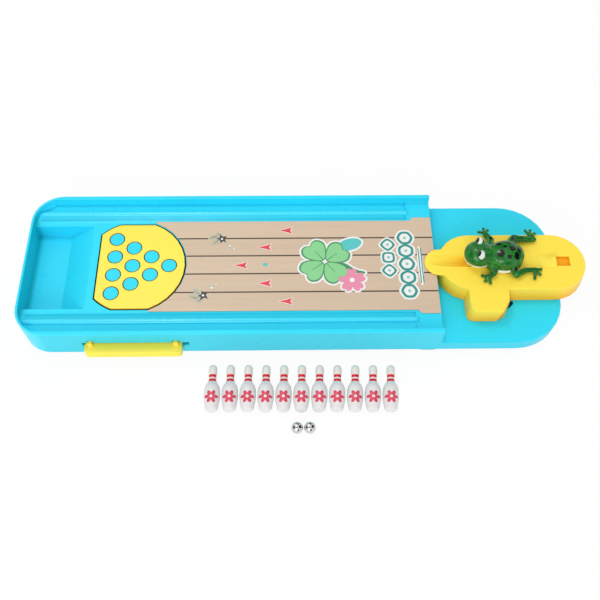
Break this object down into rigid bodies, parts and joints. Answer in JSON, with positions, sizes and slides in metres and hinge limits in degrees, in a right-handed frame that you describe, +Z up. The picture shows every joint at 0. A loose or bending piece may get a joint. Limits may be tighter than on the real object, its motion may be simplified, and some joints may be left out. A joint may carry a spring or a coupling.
{
  "type": "tabletop bowling game",
  "caption": "Miniature bowling lane with a pin deck raised by a side handle, a swivelling spring ball launcher topped by a frog figure, loose pins and steel balls.",
  "frame": {"origin": "middle of the board in length and width, on the flat underside of the base cover; the foot pads reach 1.3 mm below it and the loose pieces lie on the table at that level", "axes": "+X along the lane from the pin pit towards the launcher, +Y across it away from the handle, +Z up"},
  "size_m": [0.3731, 0.165, 0.0414],
  "materials": {
    "blue_plastic": "satin gloss, moulded",
    "printed_sheet": "printed film, satin",
    "yellow_plastic": "satin gloss, moulded",
    "orange_plastic": "satin, moulded",
    "steel": "plain zinc plated",
    "foot_rubber": "matte",
    "frog_rubber": "glossy, painted spots",
    "pin_plastic": "glossy with printed stripes",
    "ball_steel": "polished"
  },
  "bodies": {
    "board": {"tray": "blue_plastic", "base_cover": "blue_plastic", "lane_sticker": "printed_sheet", "base_screw_1": "steel", "base_screw_2": "steel", "base_screw_3": "steel", "base_screw_4": "steel", "base_screw_5": "steel", "base_screw_6": "steel", "base_screw_7": "steel", "base_screw_8": "steel", "foot_1": "foot_rubber", "foot_2": "foot_rubber", "foot_3": "foot_rubber", "foot_4": "foot_rubber", "foot_5": "foot_rubber", "foot_6": "foot_rubber"},
    "handle": {"handle_slide": "yellow_plastic"},
    "deck": {"pin_deck": "yellow_plastic"},
    "launcher": {"launcher_housing": "yellow_plastic", "launcher_base": "yellow_plastic", "frog": "frog_rubber", "launch_spring": "steel", "pivot_screw": "steel", "pivot_washer": "steel", "guide_screw": "steel", "guide_washer": "steel", "launcher_screw_1": "steel", "launcher_screw_2": "steel", "launcher_screw_3": "steel", "launcher_screw_4": "steel", "frog_screw_1": "steel", "frog_screw_2": "steel"},
    "striker": {"striker_slide": "orange_plastic", "thumb_rest": "yellow_plastic"},
    "pin_01": {"pin_01": "pin_plastic"},
    "pin_02": {"pin_02": "pin_plastic"},
    "pin_03": {"pin_03": "pin_plastic"},
    "pin_04": {"pin_04": "pin_plastic"},
    "pin_05": {"pin_05": "pin_plastic"},
    "pin_06": {"pin_06": "pin_plastic"},
    "pin_07": {"pin_07": "pin_plastic"},
    "pin_08": {"pin_08": "pin_plastic"},
    "pin_09": {"pin_09": "pin_plastic"},
    "pin_10": {"pin_10": "pin_plastic"},
    "pin_11": {"pin_11": "pin_plastic"},
    "ball_1": {"ball_1": "ball_steel"},
    "ball_2": {"ball_2": "ball_steel"}
  },
  "joints": [
    {"name": "handle_pull", "type": "slide", "parent": "board", "child": "handle", "axis": [0, -1, 0], "range_m": [0, 0.008]},
    {"name": "deck_lift", "type": "slide", "parent": "board", "child": "deck", "axis": [0, 0, 1], "range_m": [0, 0.0034]},
    {"name": "launcher_swivel", "type": "hinge", "parent": "board", "child": "launcher", "pos_m": [0.11745, 0, 0.0093], "axis": [0, 0, 1], "range_deg": [-15, 15]},
    {"name": "striker_draw", "type": "slide", "parent": "launcher", "child": "striker", "axis": [1, 0, 0], "range_m": [0, 0.0062], "stiffness_N_per_m": 150, "springref_m": -0.004, "deforming": ["launch_spring"]},
    {"name": "pin_01_lift", "type": "slide", "parent": "board", "child": "pin_01", "axis": [0, 0, 1], "range_m": [0, 0.04]},
    {"name": "pin_02_lift", "type": "slide", "parent": "board", "child": "pin_02", "axis": [0, 0, 1], "range_m": [0, 0.04]},
    {"name": "pin_03_lift", "type": "slide", "parent": "board", "child": "pin_03", "axis": [0, 0, 1], "range_m": [0, 0.04]},
    {"name": "pin_04_lift", "type": "slide", "parent": "board", "child": "pin_04", "axis": [0, 0, 1], "range_m": [0, 0.04]},
    {"name": "pin_05_lift", "type": "slide", "parent": "board", "child": "pin_05", "axis": [0, 0, 1], "range_m": [0, 0.04]},
    {"name": "pin_06_lift", "type": "slide", "parent": "board", "child": "pin_06", "axis": [0, 0, 1], "range_m": [0, 0.04]},
    {"name": "pin_07_lift", "type": "slide", "parent": "board", "child": "pin_07", "axis": [0, 0, 1], "range_m": [0, 0.04]},
    {"name": "pin_08_lift", "type": "slide", "parent": "board", "child": "pin_08", "axis": [0, 0, 1], "range_m": [0, 0.04]},
    {"name": "pin_09_lift", "type": "slide", "parent": "board", "child": "pin_09", "axis": [0, 0, 1], "range_m": [0, 0.04]},
    {"name": "pin_10_lift", "type": "slide", "parent": "board", "child": "pin_10", "axis": [0, 0, 1], "range_m": [0, 0.04]},
    {"name": "pin_11_lift", "type": "slide", "parent": "board", "child": "pin_11", "axis": [0, 0, 1], "range_m": [0, 0.04]},
    {"name": "ball_1_lift", "type": "slide", "parent": "board", "child": "ball_1", "axis": [0, 0, 1], "range_m": [0, 0.04]},
    {"name": "ball_2_lift", "type": "slide", "parent": "board", "child": "ball_2", "axis": [0, 0, 1], "range_m": [0, 0.04]}
  ],
  "couplings": [
    {"joint": "deck_lift", "follows": "handle_pull", "ratio": 0.425}
  ]
}
